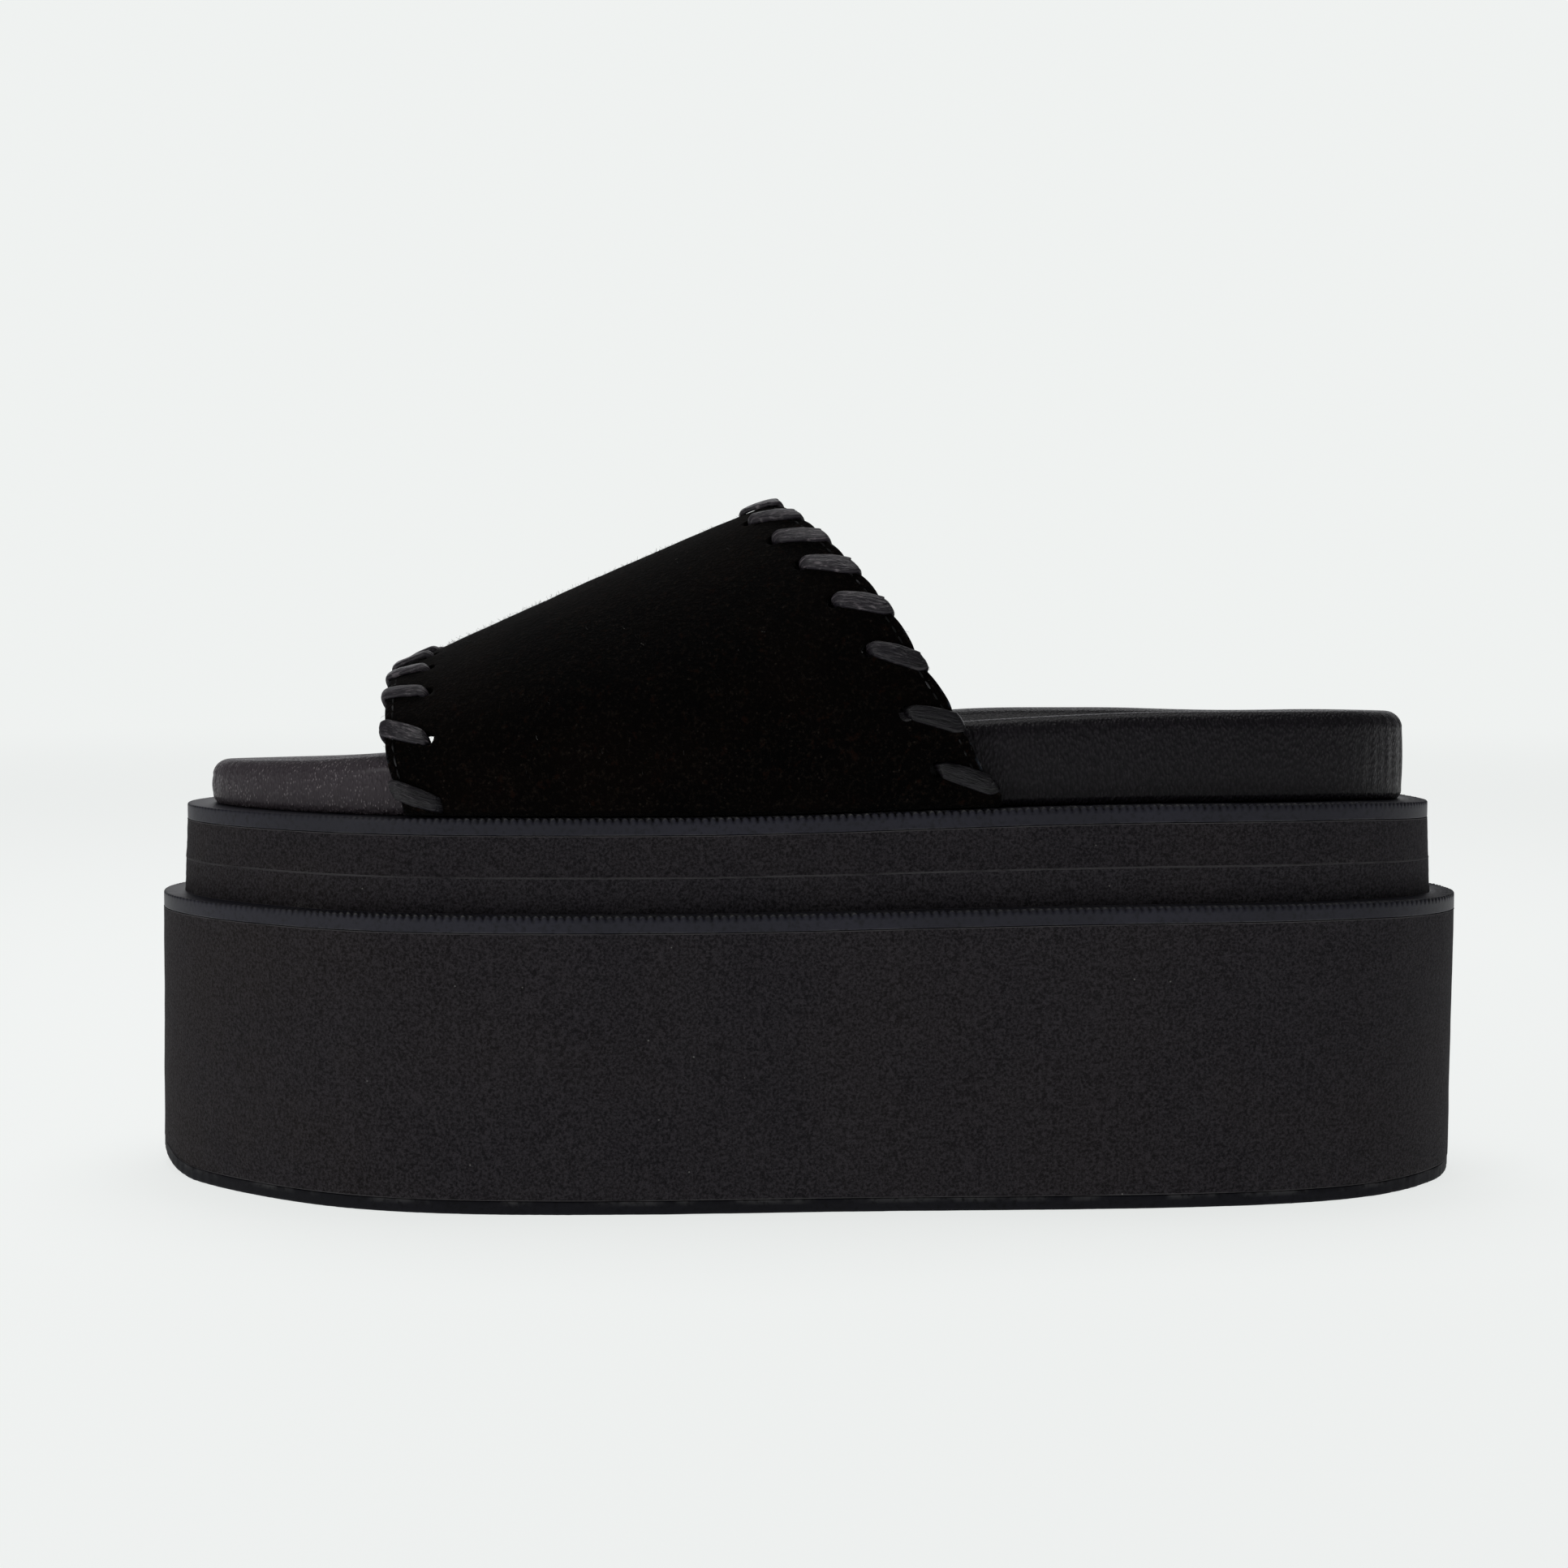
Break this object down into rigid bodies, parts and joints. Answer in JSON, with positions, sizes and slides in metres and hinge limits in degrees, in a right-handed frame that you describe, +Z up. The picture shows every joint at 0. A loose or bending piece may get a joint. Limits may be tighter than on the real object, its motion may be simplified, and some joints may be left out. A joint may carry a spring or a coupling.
{
  "type": "platform slide sandal",
  "caption": "Left backless slide sandal: a wide strap with whip-stitched edges over a cupped footbed on a stepped, layered platform sole.",
  "frame": {"origin": "on the ground under the middle of the platform's bounding box", "axes": "+X towards the heel (the toe is at -X), +Y towards the medial side, +Z up; the picture looks along +Y at the lateral side"},
  "size_m": [0.2776, 0.1131, 0.1439],
  "materials": {
    "outsole_rubber": "matt near-black rubber sheet",
    "tier_rubber": "smooth dark blue-black rubber with a knurled top edge",
    "tier_foam": "buffed dark charcoal foam rubber, velvety and slightly mottled",
    "footbed_leather": "soft pebbled charcoal leather wrapped over a cupped footbed",
    "strap_suede": "black suede, no gloss",
    "lace_leather": "flat black leather lace, satin"
  },
  "bodies": {
    "root": {"outsole": "outsole_rubber", "platform_block": "tier_foam", "platform_cover": "tier_rubber", "riser_lower": "tier_foam", "riser_upper": "tier_foam", "welt": "tier_rubber", "footbed": "footbed_leather", "strap": "strap_suede", "front_lace": "lace_leather", "rear_lace": "lace_leather"}
  },
  "joints": []
}
